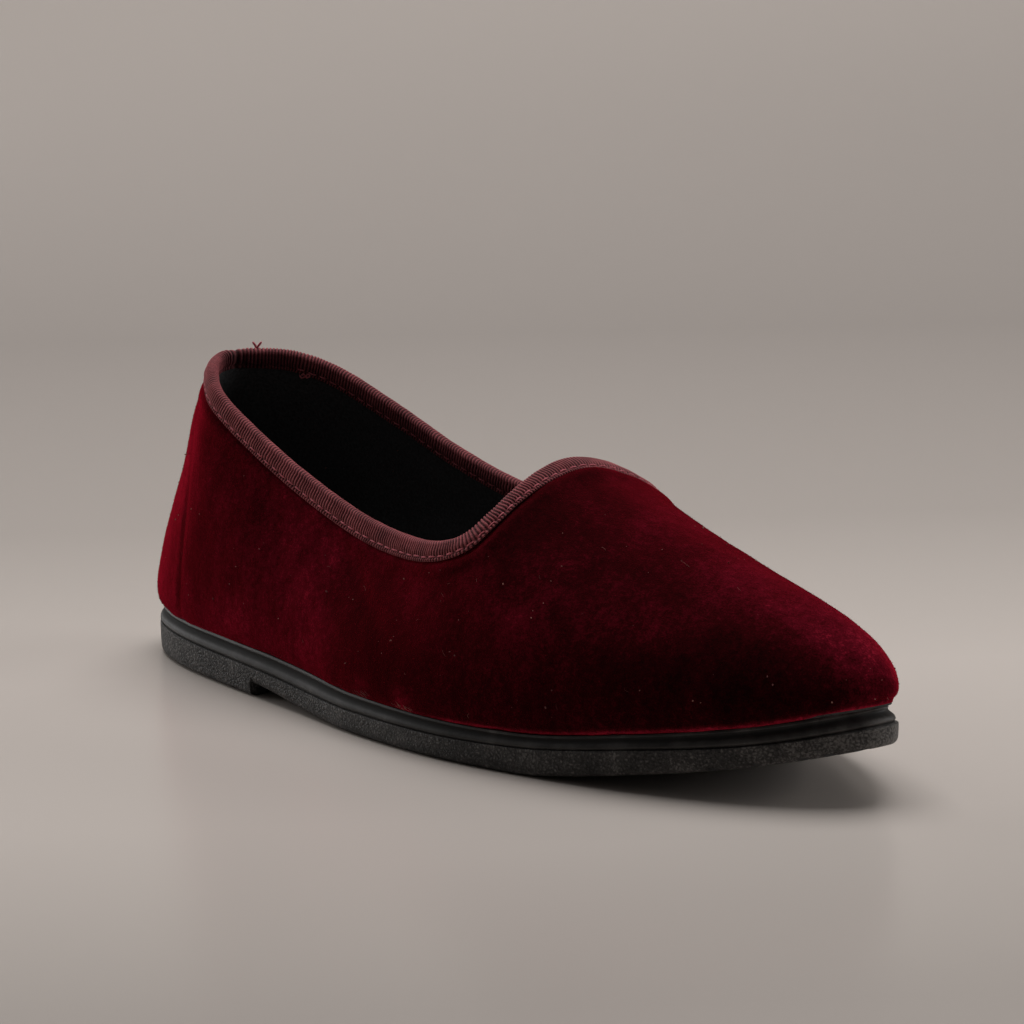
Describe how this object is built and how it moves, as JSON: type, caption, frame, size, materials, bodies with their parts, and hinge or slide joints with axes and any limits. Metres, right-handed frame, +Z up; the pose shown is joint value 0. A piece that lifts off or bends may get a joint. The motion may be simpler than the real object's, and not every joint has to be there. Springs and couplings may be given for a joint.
{
  "type": "furlane slipper",
  "caption": "Slip-on velvet slipper with a hollow upper open at the collar, a grosgrain ribbon bound over its edge, an insole, and a low moulded rubber sole with a heel lift and toe spring.",
  "frame": {"origin": "on the floor under the middle of the slipper's box", "axes": "+X from heel to toe, +Y towards the inner side of the foot, +Z up"},
  "size_m": [0.2522, 0.0848, 0.0786],
  "materials": {
    "sole_rubber": "fine grained side, smooth bead",
    "velvet": "short burgundy pile with a sheen",
    "ribbon": "ribbed grosgrain, sewn along both edges",
    "lining": "plain black cloth"
  },
  "bodies": {
    "root": {"sole": "sole_rubber", "upper": "velvet", "binding": "ribbon", "insole": "lining"}
  },
  "joints": []
}
